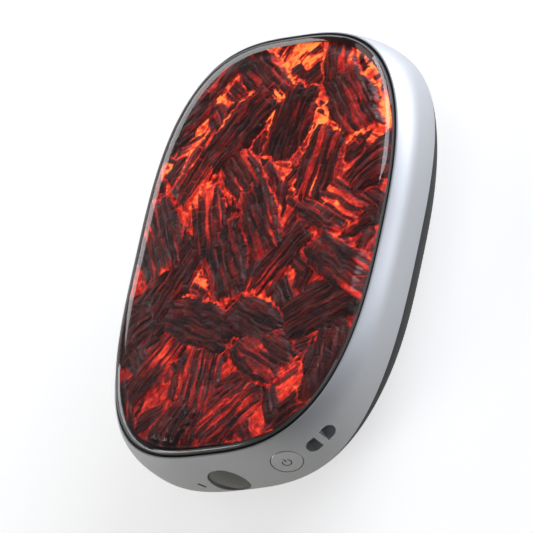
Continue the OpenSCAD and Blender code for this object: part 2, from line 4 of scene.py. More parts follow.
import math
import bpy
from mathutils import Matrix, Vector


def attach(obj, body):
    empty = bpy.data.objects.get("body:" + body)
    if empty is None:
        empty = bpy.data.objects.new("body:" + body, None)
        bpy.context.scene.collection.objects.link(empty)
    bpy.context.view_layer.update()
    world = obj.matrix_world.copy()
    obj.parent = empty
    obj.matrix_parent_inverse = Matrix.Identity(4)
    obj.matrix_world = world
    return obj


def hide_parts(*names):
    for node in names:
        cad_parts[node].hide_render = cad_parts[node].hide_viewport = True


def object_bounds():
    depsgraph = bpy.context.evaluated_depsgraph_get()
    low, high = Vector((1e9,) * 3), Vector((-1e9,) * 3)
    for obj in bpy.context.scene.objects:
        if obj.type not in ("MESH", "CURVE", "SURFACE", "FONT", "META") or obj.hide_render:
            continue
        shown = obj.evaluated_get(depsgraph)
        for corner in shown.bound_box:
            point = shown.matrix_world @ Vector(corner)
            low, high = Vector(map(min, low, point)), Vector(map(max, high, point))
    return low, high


bl_info = {
    "name": "Hand Warmer",
    "version": (1, 0, 0),
    "blender": (4, 5, 0),
    "location": "View3D > Sidebar > Hand Warmer",
    "description": "Builds a rechargeable hand warmer with an ember bed under a clear lens",
    "category": "Add Mesh",
}

import bpy
import numpy as np
from bpy.props import FloatProperty, FloatVectorProperty, IntProperty, PointerProperty
from bpy.types import Operator, Panel, PropertyGroup
from mathutils import Matrix, Vector

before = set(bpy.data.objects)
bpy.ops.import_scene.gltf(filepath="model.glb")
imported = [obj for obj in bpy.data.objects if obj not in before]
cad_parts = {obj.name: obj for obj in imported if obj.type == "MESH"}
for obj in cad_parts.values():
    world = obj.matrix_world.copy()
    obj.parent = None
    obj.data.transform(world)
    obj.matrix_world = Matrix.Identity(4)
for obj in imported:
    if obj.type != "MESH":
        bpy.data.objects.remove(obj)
CAD_BOX = [list(corner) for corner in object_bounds()]
CAD_LOW, CAD_HIGH = CAD_BOX

MM = 0.001
AROUND = 288
CLEAR = 0.15 * MM
GLUE = 0.05 * MM
HAIR = 0.01 * MM
BEYOND = 3 * MM
SOCKET_MOUTH = (9.24 * MM, 3.56 * MM)
PLUG_NOSE = (7.84 * MM, 2.16 * MM)


def length(name, description, default):
    """A size in metres, given here in millimetres."""
    return FloatProperty(name=name, description=description, default=default * MM, unit="LENGTH")


def colour(name, description, default):
    return FloatVectorProperty(
        name=name, description=description, default=default, subtype="COLOR", size=3, min=0, max=1
    )


class WarmerSizes(PropertyGroup):
    """Sizes of the body, which match the solids that it dresses."""

    body_length: length("Body length", "Overall length", 105)
    body_width: length("Body width", "Overall width", 74)
    body_height: length("Body height", "Height of the lens crown", 25)
    oval_power: FloatProperty(
        name="Oval power", description="2 is an ellipse, more is squarer", default=3.0
    )
    foot_end: length("Foot end", "Distance from each end to the flat resting face", 17.5)
    foot_side: length("Foot side", "Distance from each side to the flat resting face", 9)
    side_belly: length("Side belly", "Height at which the sides are widest", 15.2)
    end_belly: length("End belly", "Height at which the ends are longest", 11.4)
    rim_end: length("Rim end", "Distance from each end to the lens opening", 2.15)
    rim_side: length("Rim side", "Distance from each side to the lens opening", 2.7)
    rim_height: length("Rim height", "Height of the rim at the sides", 19.8)
    rim_lift: length("Rim lift", "How much higher the rim stands at the ends", 2.7)
    part_height: length("Parting height", "Height of the parting line at the sides", 9.6)
    part_drop: length("Parting drop", "How much lower the parting line runs at the ends", 3.6)
    shoulder: length("Shoulder", "Radius of the bright shoulder round the lens", 0.6)
    frame_wall: length("Frame wall", "Wall of the silver frame", 2.0)
    back_wall: length("Back wall", "Wall of the back shell", 1.6)
    seam: length("Seam", "Gap between frame and back shell", 0.1)
    seat: length("Lens seat", "Depth of the lens seat below the rim", 2.2)
    ledge: length("Ledge", "Width of the ledge under the lens", 3.4)
    ledge_thickness: length("Ledge thickness", "Thickness of the ledge", 1.4)
    ember_base: length("Ember base", "Thickness of the sheet under the embers", 1.2)
    lens_wall: length("Lens wall", "Wall of the lens at its edge", 1.6)
    lens_crown: length("Lens crown", "Thickness of the lens at its crown", 2.0)
    gasket: length("Gasket", "Thickness of the gasket round the lens", 0.5)
    port_height: length("Port height", "Height of the charging port", 12.9)
    plug_diameter: length("Plug diameter", "Diameter of the port plug", 9.4)
    plug_rise: length("Plug rise", "Rise of the plug's dome", 0.5)
    pocket_depth: length("Pocket depth", "Depth of the plug's pocket", 2.6)
    leg_diameter: length("Leg diameter", "Diameter of the plug's leg", 1.3)
    leg_drop: length("Leg drop", "How far the leg is below the port", 3.8)
    button_diameter: length("Button diameter", "Diameter of the power button", 7.0)
    button_place: length("Button place", "Distance of the button from the middle", 17.3)
    button_height: length("Button height", "Height of the power button", 15.1)
    slot_place: length("Slot place", "Distance of the lanyard slot from the middle", 25.6)
    slot_height: length("Slot height", "Height of the lanyard slot", 15.1)
    slot_length: length("Slot length", "Length of the lanyard slot", 7.8)
    slot_width: length("Slot width", "Width of the lanyard slot", 3.5)
    slot_depth: length("Slot depth", "Depth of the lanyard slot", 3.2)
    bar_width: length("Bar width", "Width of the bar across the lanyard slot", 1.5)
    bar_thickness: length("Bar thickness", "Thickness of that bar", 1.4)
    window_place: length("Window place", "Distance of the status window from the middle", -8.0)
    window_height: length("Window height", "Height of the status window", 12.4)
    window_length: length("Window length", "Length of the status window", 2.2)
    window_width: length("Window width", "Width of the status window", 0.8)


class WarmerLooks(PropertyGroup):
    """Colours and the make-up of the ember bed."""

    silver: colour("Silver", "Silver paint of the frame", (0.735, 0.748, 0.78))
    shell: colour("Shell", "Dark grey of the back shell", (0.040, 0.041, 0.044))
    plug: colour("Plug", "Grey of the port plug", (0.165, 0.165, 0.162))
    mark: colour("Mark", "Grey of the power mark", (0.06, 0.06, 0.065))
    char: colour("Char", "Cold charred wood", (0.006, 0.003, 0.003))
    # Bluish grey of the ash on the charred pieces, which also serves as their painted glints
    ash_and_glint: colour("Ash", "Ash on the charred wood", (0.17, 0.17, 0.20))
    red_heat: colour("Red heat", "Coolest glow", (0.26, 0.005, 0.004))
    orange_heat: colour("Orange heat", "Middle glow", (0.82, 0.040, 0.018))
    white_heat: colour("White heat", "Hottest glow", (1.0, 0.32, 0.06))
    glow: FloatProperty(name="Glow", description="Strength of the embers' light", default=1.2)
    coal_height: length("Coal height", "Height of a charred piece over the sheet", 1.9)
    rows: IntProperty(name="Rows", description="Rows of charred pieces on the bed", default=8)
    columns: IntProperty(name="Columns", description="Charred pieces in a row", default=4)


# Shape


def spread(low, high, count):
    return np.linspace(low, high, count + 1)


class Form:
    """The pebble's curves, in metres."""

    def __init__(self, sizes):
        self.s = sizes
        self.half_length = sizes.body_length / 2
        self.half_width = sizes.body_width / 2
        self.rim_a = self.half_width - sizes.rim_side
        self.rim_b = self.half_length - sizes.rim_end
        self.ledge_h = sizes.rim_height - sizes.seat
        self.band = sizes.rim_height - sizes.part_height
        self.shoulder_out = sizes.shoulder * math.sin(math.radians(45))
        self.skin_top = sizes.rim_height - sizes.shoulder + self.shoulder_out

    def level_rise(self, h):
        s = self.s
        return s.rim_lift * (h / s.rim_height) * (h - s.part_height) / self.band

    def level_drop(self, h):
        s = self.s
        return s.part_drop * (h / s.part_height) * (s.rim_height - h) / self.band

    def end_h(self, h):
        return h + self.level_rise(h) - self.level_drop(h)

    @staticmethod
    def _half(z, belly, foot, belly_h, power, top, top_h):
        z = np.asarray(z, dtype=float)
        reach = belly_h / (1 - (foot / belly) ** power) ** (1 / power)
        low = belly * (1 - (np.clip(belly_h - z, 0, None) / reach) ** power) ** (1 / power)
        high = belly - (belly - top) * (np.clip(z - belly_h, 0, None) / (top_h - belly_h)) ** 2
        return np.where(z > belly_h, high, low)

    def side_a(self, z):
        return self._half(
            z, self.half_width, self.half_width - self.s.foot_side, self.s.side_belly, 2.6,
            self.rim_a + self.shoulder_out, self.skin_top,
        )

    def end_b(self, z):
        return self._half(
            z, self.half_length, self.half_length - self.s.foot_end, self.s.end_belly, 2.8,
            self.rim_b + self.shoulder_out, self.end_h(self.skin_top),
        )

    def oval(self, a, b, count=AROUND):
        turn = np.arange(count) * 2 * math.pi / count
        c, s, n = np.cos(turn), np.sin(turn), self.s.oval_power
        u = (np.abs(c) ** n + np.abs(s) ** n) ** (-1 / n)
        return a * u * c, b * u * s

    def share(self, x, y, a, b):
        """How far out a point lies in an oval: 0 in the middle and 1 on the outline."""
        n = self.s.oval_power
        return ((np.abs(x) / a) ** n + (np.abs(y) / b) ** n) ** (1 / n)

    def ring(self, a, b, h, rise=0.0, drop=0.0):
        x, y = self.oval(a, b)
        share = y / b
        return np.column_stack([x, y, h + rise * share**2 - drop * share**4])

    def skin_ring(self, h, inset=0.0):
        a = float(self.side_a(h)) - inset
        b = float(self.end_b(self.end_h(h))) - inset
        return self.ring(a, b, h, self.level_rise(h), self.level_drop(h))

    def hollow_ring(self, z):
        lean_a = (float(self.side_a(z + HAIR)) - float(self.side_a(z))) / HAIR
        lean_b = (float(self.end_b(z + HAIR)) - float(self.end_b(z))) / HAIR
        a = float(self.side_a(z)) - self.s.back_wall * math.hypot(lean_a, 1)
        b = float(self.end_b(z)) - self.s.back_wall * math.hypot(lean_b, 1)
        return self.ring(a, b, z)

    def outside(self, points):
        """Above 0 where a point is outside the skin."""
        x, y, z = np.moveaxis(points, -1, 0)
        low, high = np.zeros_like(z), np.full_like(z, self.skin_top)
        for _ in range(30):
            h = (low + high) / 2
            share = np.clip(y / self.end_b(self.end_h(h)), -1.05, 1.05)
            level = h + self.level_rise(h) * share**2 - self.level_drop(h) * share**4
            low, high = np.where(level < z, h, low), np.where(level < z, high, h)
        n = self.s.oval_power
        a, b = self.side_a(h), self.end_b(self.end_h(h))
        return (np.abs(x) / a) ** n + (np.abs(y) / b) ** n - 1

    def wall(self, x, z):
        """A frame on the port end's wall: X along it, Y up and Z out of it."""
        n, b = self.s.oval_power, float(self.end_b(z))
        y = -b * (1 - (abs(x) / self.half_width) ** n) ** (1 / n)
        turn = math.atan2(
            math.copysign((abs(x) / self.half_width) ** (n - 1) / self.half_width, x),
            (abs(y) / b) ** (n - 1) / b,
        )
        tilt = Matrix.Rotation(turn, 4, "Z") @ Matrix.Rotation(math.pi / 2, 4, "X")
        return Matrix.Translation((x, y, z)) @ tilt

    def port(self):
        place = Matrix.Translation((0, -self.half_length, self.s.port_height))
        return place @ Matrix.Rotation(math.pi / 2, 4, "X")

    def on_skin(self, place, flat):
        """Heights over the wall's plane at which the skin lies, for flat (x, y) points."""
        flat = np.asarray(flat, dtype=float)
        basis = np.array(place)
        low, high = np.full(len(flat), -3 * MM), np.full(len(flat), 2 * MM)
        for _ in range(24):
            mid = (low + high) / 2
            local = np.column_stack([flat, mid, np.ones(len(flat))])
            out = self.outside((local @ basis.T)[:, :3]) > 0
            low, high = np.where(out, low, mid), np.where(out, mid, high)
        return (low + high) / 2


# Mesh building


def loft_faces(count, total, closed):
    """Quads from ring to ring; a closed loft comes back to its first ring."""
    steps = total if closed else total - 1
    faces = []
    for i in range(steps):
        first, second = i * count, ((i + 1) % total) * count
        for j in range(count):
            k = (j + 1) % count
            faces.append((first + j, first + k, second + k, second + j))
    return faces


def hoop(rings):
    points = np.concatenate(rings)
    return points, loft_faces(len(rings[0]), len(rings), True)


def skin(rings, low_point, high_point):
    """A closed loft from a point through rings to another point."""
    count, total = len(rings[0]), len(rings)
    points = np.concatenate(list(rings) + [[low_point], [high_point]])
    faces = loft_faces(count, total, False)
    low, high, last = total * count, total * count + 1, (total - 1) * count
    for j in range(count):
        k = (j + 1) % count
        faces.append((low, k, j))
        faces.append((high, last + j, last + k))
    return points, faces


def revolve(profile, count=96):
    """A solid of revolution about Z from (radius, height) pairs, from axis to axis."""
    turn = np.arange(count) * 2 * math.pi / count
    rings = [
        np.column_stack([r * np.cos(turn), r * np.sin(turn), np.full(count, z)])
        for r, z in profile[1:-1]
    ]
    return skin(rings, (0, 0, profile[0][1]), (0, 0, profile[-1][1]))


def ribbon_faces(start, pairs):
    """Quads between pairs of points that lie side by side."""
    return [(k, k + 1, k + 3, k + 2) for k in range(start, start + 2 * pairs - 2, 2)]


def prism(outline, low, high):
    """A straight solid with an outline in XY."""
    count = len(outline)
    points = [(x, y, low) for x, y in outline] + [(x, y, high) for x, y in outline]
    faces = [tuple(reversed(range(count))), tuple(range(count, 2 * count))]
    for j in range(count):
        k = (j + 1) % count
        faces.append((j, k, count + k, count + j))
    return np.array(points), faces


def rod(radius, low, high):
    return revolve([(0, low), (radius, low), (radius, high), (0, high)])


def oblong(width, height):
    """Outline of a rectangle round the middle."""
    x, y = width / 2, height / 2
    return [(-x, -y), (x, -y), (x, y), (-x, y)]


def stadium(width, height, steps=24):
    """Outline of an oval with straight sides, from its right end round to its left."""
    r, reach = height / 2, (width - height) / 2
    turns = np.linspace(-math.pi / 2, math.pi / 2, steps)
    right = [(reach + r * math.cos(t), r * math.sin(t)) for t in turns]
    return right + [(-x, -y) for x, y in right]


def half_stadium(width, height, inner, side):
    """One half of a stadium, with its straight edge at a distance from the middle."""
    outer = [(x, y) for x, y in stadium(width, height) if x > 0]
    outline = outer + [(inner, height / 2), (inner, -height / 2)]
    if side < 0:
        outline = [(-x, y) for x, y in reversed(outline)]
    return outline


def moved(shape, place):
    points, faces = shape
    basis = np.array(place)
    full = np.column_stack([points, np.ones(len(points))])
    return (full @ basis.T)[:, :3], faces


def mesh_object(name, shape):
    points, faces = shape
    mesh = bpy.data.meshes.new(name)
    mesh.from_pydata([tuple(p) for p in points], [], faces)
    mesh.validate()
    mesh.update()
    thing = bpy.data.objects.new(name, mesh)
    bpy.context.scene.collection.objects.link(thing)
    return thing


def settle(thing):
    """Turns the modifiers into the mesh itself."""
    ready = thing.evaluated_get(bpy.context.evaluated_depsgraph_get())
    mesh = bpy.data.meshes.new_from_object(ready)
    old = thing.data
    thing.modifiers.clear()
    thing.data = mesh
    bpy.data.meshes.remove(old)


def combine(thing, shapes, operation):
    """Joins shapes to a mesh, or cuts them from it."""
    tools = []
    for number, shape in enumerate(shapes):
        tool = mesh_object(f"tool_{number}", shape)
        step = thing.modifiers.new(tool.name, "BOOLEAN")
        step.object, step.operation, step.solver = tool, operation, "EXACT"
        tools.append(tool)
    settle(thing)
    for tool in tools:
        mesh = tool.data
        bpy.data.objects.remove(tool)
        bpy.data.meshes.remove(mesh)


def finish_piece(thing, body, material, nodes=(), sharp=35):
    """Smooths a piece, gives it its material and hands it to its body."""
    thing.data.shade_smooth()
    thing.data.set_sharp_from_angle(angle=math.radians(sharp))
    thing.data.materials.clear()
    thing.data.materials.append(material)
    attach(thing, body)
    if nodes:
        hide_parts(*nodes)
    return thing


# Materials


def new_tree(name):
    material = bpy.data.materials.new(name)
    material.use_nodes = True
    tree = material.node_tree
    return material, tree, tree.nodes["Principled BSDF"]


def feed(tree, socket, value):
    """Gives a socket a number, a colour or another node's output."""
    if isinstance(value, bpy.types.NodeSocket):
        tree.links.new(value, socket)
    elif isinstance(value, (int, float)):
        socket.default_value = value
    else:
        socket.default_value = (*value, 1)


def wire(tree, node, **inputs):
    """Feeds a node's inputs, whose names have _ for each space here."""
    for name, value in inputs.items():
        feed(tree, node.inputs[name.replace("_", " ")], value)
    return node


def add(tree, kind, **inputs):
    return wire(tree, tree.nodes.new("ShaderNode" + kind), **inputs)


def noise(tree, **inputs):
    return add(tree, "TexNoise", **inputs).outputs["Fac"]


def object_place(tree):
    return add(tree, "TexCoord").outputs["Object"]


def ramp(tree, stops, factor):
    node = add(tree, "ValToRGB", Fac=factor)
    elements = node.color_ramp.elements
    while len(elements) < len(stops):
        elements.new(0.5)
    for element, (place, value) in zip(elements, stops):
        element.position = place
        element.color = (*value, 1)
    return node.outputs["Color"]


def math_node(tree, operation, first, second):
    node = add(tree, "Math")
    node.operation = operation
    feed(tree, node.inputs[0], first)
    feed(tree, node.inputs[1], second)
    return node.outputs[0]


def product(tree, first, second):
    return math_node(tree, "MULTIPLY", first, second)


def total(tree, first, second):
    return math_node(tree, "ADD", first, second)


def centred(tree, value):
    """Noise around 0 in place of 0.5."""
    return math_node(tree, "SUBTRACT", value, 0.5)


def blend(tree, factor, first, second):
    node = add(tree, "Mix")
    node.data_type = "RGBA"
    return wire(tree, node, Factor=factor, A=first, B=second).outputs["Result"]


def surface_group():
    """Mottled colour, uneven gloss and fine grain, for every moulded or painted surface."""
    name = "Fine Surface"
    if name in bpy.data.node_groups:
        return bpy.data.node_groups[name]
    group = bpy.data.node_groups.new(name, "ShaderNodeTree")
    number, tint = "NodeSocketFloat", "NodeSocketColor"
    for direction, label, kind in (
        ("INPUT", "Colour", tint),
        ("INPUT", "Mottle", number),
        ("INPUT", "Mottle Scale", number),
        ("INPUT", "Roughness", number),
        ("INPUT", "Unevenness", number),
        ("INPUT", "Grain Scale", number),
        ("OUTPUT", "Colour", tint),
        ("OUTPUT", "Roughness", number),
        ("OUTPUT", "Grain", number),
    ):
        group.interface.new_socket(label, in_out=direction, socket_type=kind)
    given = group.nodes.new("NodeGroupInput").outputs
    place = object_place(group)
    broad = noise(group, Vector=place, Scale=given["Mottle Scale"], Detail=4.0, Roughness=0.55)
    fine = noise(group, Vector=place, Scale=given["Grain Scale"], Detail=3.0, Roughness=0.6)
    broad = centred(group, broad)
    speck = product(group, centred(group, fine), 0.04)
    tone = total(group, product(group, broad, given["Mottle"]), speck)
    scale = add(group, "VectorMath")
    scale.operation = "SCALE"
    group.links.new(given["Colour"], scale.inputs[0])
    wire(group, scale, Scale=total(group, tone, 1.0))
    wire(
        group,
        group.nodes.new("NodeGroupOutput"),
        Colour=scale.outputs["Vector"],
        Roughness=total(group, product(group, broad, given["Unevenness"]), given["Roughness"]),
        Grain=fine,
    )
    return group


def plain_finish(
    name, base, rough=0.4, metallic=0.0, mottle=0.08, mottle_scale=60.0, grain=2500.0,
    bump=0.05, uneven=0.08, coat=0.0,
):
    """A surface with mottled colour, uneven gloss and a fine grain."""
    material, tree, shader = new_tree(name)
    surface = add(tree, "Group")
    surface.node_tree = surface_group()
    wire(
        tree, surface, Colour=base, Mottle=mottle, Mottle_Scale=mottle_scale, Roughness=rough,
        Unevenness=uneven, Grain_Scale=grain,
    )
    made = surface.outputs
    bumper = add(tree, "Bump", Strength=bump, Distance=0.0002, Height=made["Grain"])
    wire(
        tree, shader, Metallic=metallic, Coat_Weight=coat, Coat_Roughness=0.12,
        Base_Color=made["Colour"], Roughness=made["Roughness"], Normal=bumper.outputs["Normal"],
    )
    return material


def lens_finish():
    """Clear moulded plastic with faint flow marks; light reaches the embers through it."""
    material, tree, shader = new_tree("clear_lens")
    flow = noise(tree, Vector=object_place(tree), Scale=45.0, Detail=2.0)
    haze = product(tree, flow, 0.03)
    wire(tree, shader, Base_Color=(1, 1, 1), IOR=1.49, Transmission_Weight=1.0, Roughness=haze)
    mix = add(tree, "MixShader", Fac=add(tree, "LightPath").outputs["Is Shadow Ray"])
    tree.links.new(shader.outputs["BSDF"], mix.inputs[1])
    tree.links.new(add(tree, "BsdfTransparent").outputs["BSDF"], mix.inputs[2])
    wire(tree, tree.nodes["Material Output"], Surface=mix.outputs["Shader"])
    return material


def ember_finish(looks):
    """Charred wood: dark with grain, bluish-grey ash with painted glints on top, and heat in the
    gaps and cracks.
    """
    material, tree, shader = new_tree("glowing_embers")
    place = object_place(tree)
    masks = {}
    for name in ("warmth", "ash_and_glint", "tone", "along", "across"):
        node = add(tree, "Attribute")
        node.attribute_name = name
        masks[name] = node.outputs["Fac"]
    # Fibres: noise drawn out along each piece
    grain_x, grain_y = product(tree, masks["along"], 0.55), product(tree, masks["across"], 5.0)
    drawn = add(tree, "CombineXYZ", X=grain_x, Y=grain_y).outputs["Vector"]
    fibre = noise(tree, Vector=drawn, Scale=1.0, Detail=4.0, Roughness=0.62)
    fine = noise(tree, Vector=place, Scale=1500.0, Detail=5.0, Roughness=0.65)
    flicker = noise(tree, Vector=place, Scale=700.0, Detail=3.0)
    thread = product(tree, centred(tree, fibre), 1.5)
    cold = ramp(
        tree,
        [(0.05, looks.char), (0.45, (0.060, 0.006, 0.005)), (1.0, (0.22, 0.020, 0.014))],
        total(tree, masks["tone"], thread),
    )
    wave = total(tree, product(tree, flicker, 0.6), 0.70)
    wave = total(tree, wave, product(tree, thread, 0.5))
    glow = ramp(
        tree,
        [
            (0.0, (0, 0, 0)),
            (0.15, (0.008, 0.0003, 0.0003)),
            (0.36, looks.red_heat),
            (0.66, looks.orange_heat),
            (1.0, looks.white_heat),
        ],
        product(tree, masks["warmth"], wave),
    )
    relief = total(tree, fine, fibre)
    bumper = add(tree, "Bump", Strength=0.60, Distance=0.0003, Height=relief)
    wire(
        tree,
        shader,
        # Base colour: the char, mixed with the bluish grey of ash and painted glints
        Base_Color=blend(tree, product(tree, masks["ash_and_glint"], fine), cold, looks.ash_and_glint),
        Emission_Color=glow,
        Emission_Strength=looks.glow,
        Roughness=0.30,
        Coat_Weight=0.40,
        Coat_Roughness=0.07,
        Normal=bumper.outputs["Normal"],
    )
    material.cycles.emission_sampling = "NONE"
    return material


# Finishes of the nodes that keep their own solids: colour, roughness, metallic, grain, bump
INSIDE = {
    "light_diffuser": ((0.86, 0.84, 0.78), 0.55, 0.0, 900.0, 0.03),
    "light_board": ((0.02, 0.10, 0.045), 0.42, 0.0, 1600.0, 0.06),
    "panel_leds": ((0.88, 0.76, 0.42), 0.28, 0.0, 3000.0, 0.03),
    "inner_chassis": ((0.07, 0.075, 0.08), 0.50, 0.0, 2200.0, 0.10),
    "chassis_screws": ((0.42, 0.42, 0.44), 0.30, 1.0, 3500.0, 0.05),
    "board_screws": ((0.44, 0.44, 0.46), 0.30, 1.0, 3500.0, 0.05),
    "battery_cell": ((0.62, 0.64, 0.67), 0.34, 0.6, 350.0, 0.12),
    "cell_tabs": ((0.70, 0.68, 0.62), 0.28, 1.0, 2500.0, 0.04),
    "protection_board": ((0.02, 0.09, 0.05), 0.42, 0.0, 1600.0, 0.06),
    "cell_foam": ((0.12, 0.12, 0.125), 0.92, 0.0, 1100.0, 0.60),
    "heating_film": ((0.62, 0.26, 0.045), 0.22, 0.0, 500.0, 0.06),
    "heater_sensor": ((0.02, 0.02, 0.02), 0.35, 0.0, 2500.0, 0.05),
    "insulation_pad": ((0.76, 0.75, 0.72), 0.95, 0.0, 1400.0, 0.70),
    "control_board": ((0.02, 0.10, 0.045), 0.40, 0.0, 1600.0, 0.06),
    "control_chips": ((0.022, 0.022, 0.024), 0.48, 0.0, 3000.0, 0.08),
    "power_coil": ((0.07, 0.07, 0.075), 0.58, 0.0, 2600.0, 0.15),
    "charging_socket": ((0.60, 0.60, 0.62), 0.24, 1.0, 2800.0, 0.03),
    "socket_tongue": ((0.018, 0.018, 0.02), 0.45, 0.0, 2800.0, 0.05),
    "button_switch": ((0.56, 0.56, 0.57), 0.30, 1.0, 2800.0, 0.04),
    "switch_plunger": ((0.03, 0.03, 0.033), 0.40, 0.0, 2800.0, 0.05),
    "status_window": ((0.012, 0.012, 0.014), 0.45, 0.0, 2400.0, 0.02),
    "status_led": ((0.85, 0.84, 0.78), 0.30, 0.0, 2800.0, 0.03),
    "battery_leads": ((0.48, 0.02, 0.015), 0.42, 0.0, 2000.0, 0.05),
    "heater_leads": ((0.02, 0.02, 0.022), 0.42, 0.0, 2000.0, 0.05),
}


# Ember bed


def lattice_noise(x, y, seed):
    """Smooth noise from 0 to 1 with one value per unit square."""
    table = np.random.default_rng(seed).random((64, 64))
    ix, iy = np.floor(x).astype(int), np.floor(y).astype(int)
    fx, fy = x - ix, y - iy
    fx, fy = fx * fx * (3 - 2 * fx), fy * fy * (3 - 2 * fy)
    left, right, bottom, top = ix % 64, (ix + 1) % 64, iy % 64, (iy + 1) % 64
    low = table[left, bottom] * (1 - fx) + table[right, bottom] * fx
    high = table[left, top] * (1 - fx) + table[right, top] * fx
    return low * (1 - fy) + high * fy


def smooth(value, low, high):
    t = np.clip((value - low) / (high - low), 0, 1)
    return t * t * (3 - 2 * t)


def chance(number, seed):
    """A scatter between -1 and 1 that comes out alike at every build."""
    return 2 * (number * number * seed % 1) - 1


class Coal:
    """One charred piece: an uneven six-sided block with a bevelled, leaning top; in mm."""

    OUTLINE = ((-0.5, -0.3), (-0.05, -0.5), (0.44, -0.38), (0.5, 0.34), (0.1, 0.5), (-0.42, 0.42))
    SHOULDER = 0.45
    CROWN = 0.76

    def __init__(self, number, centre, pitch, height):
        self.number = number
        self.centre = centre
        self.turn = math.radians(90 + 70 * chance(number, 0.56984))
        self.long = pitch[0] * (1.35 + 0.25 * chance(number, 0.819173))
        self.wide = pitch[1] * (0.95 + 0.2 * chance(number, 0.324718))
        self.height = height * (0.75 + 0.25 * chance(number, 0.445042))
        self.lean = 0.3 * chance(number, 0.220744)

    def local(self, x, y):
        """Coordinates along and across the piece, and the gauge: 1 on its outline."""
        c, s = math.cos(self.turn), math.sin(self.turn)
        away_x, away_y = x - self.centre[0], y - self.centre[1]
        along, across = away_x * c + away_y * s, away_y * c - away_x * s
        gauge = np.zeros_like(x)
        for (ax, ay), (bx, by) in zip(self.OUTLINE, self.OUTLINE[1:] + self.OUTLINE[:1]):
            nx, ny = by - ay, ax - bx
            level = (nx * along / self.long + ny * across / self.wide) / (nx * ax + ny * ay)
            gauge = np.maximum(gauge, level)
        return along, across, gauge

    def rise(self, along, gauge):
        slope = self.SHOULDER + (1 - self.SHOULDER) * (1 - gauge) / (1 - self.CROWN)
        shape = np.clip(slope, 0, 1) * smooth(gauge, 1.05, 0.97)
        tilt = self.lean * along / self.long / np.maximum(gauge, self.CROWN)
        return self.height * shape * (1 + tilt)


def coal_layout(half_a, half_b, rows, columns, tall, first=1):
    """The pieces in staggered rows, lower towards the ends, where the lens comes down."""
    pitch = (2 * half_a / columns, 2 * half_b / rows)
    coals = []
    for row in range(rows):
        for column in range(columns):
            number = row * columns + column + first
            shift = 0.25 if row % 2 == 0 else 0.75
            x = (column + shift + 0.22 * chance(number, 0.618034)) * pitch[0] - half_a
            y = (row + 0.5 + 0.25 * chance(number, 0.754878)) * pitch[1] - half_b
            height = tall * (1 - 0.5 * (y / half_b) ** 2)
            coals.append(Coal(number, (x, y), pitch, height))
    return coals


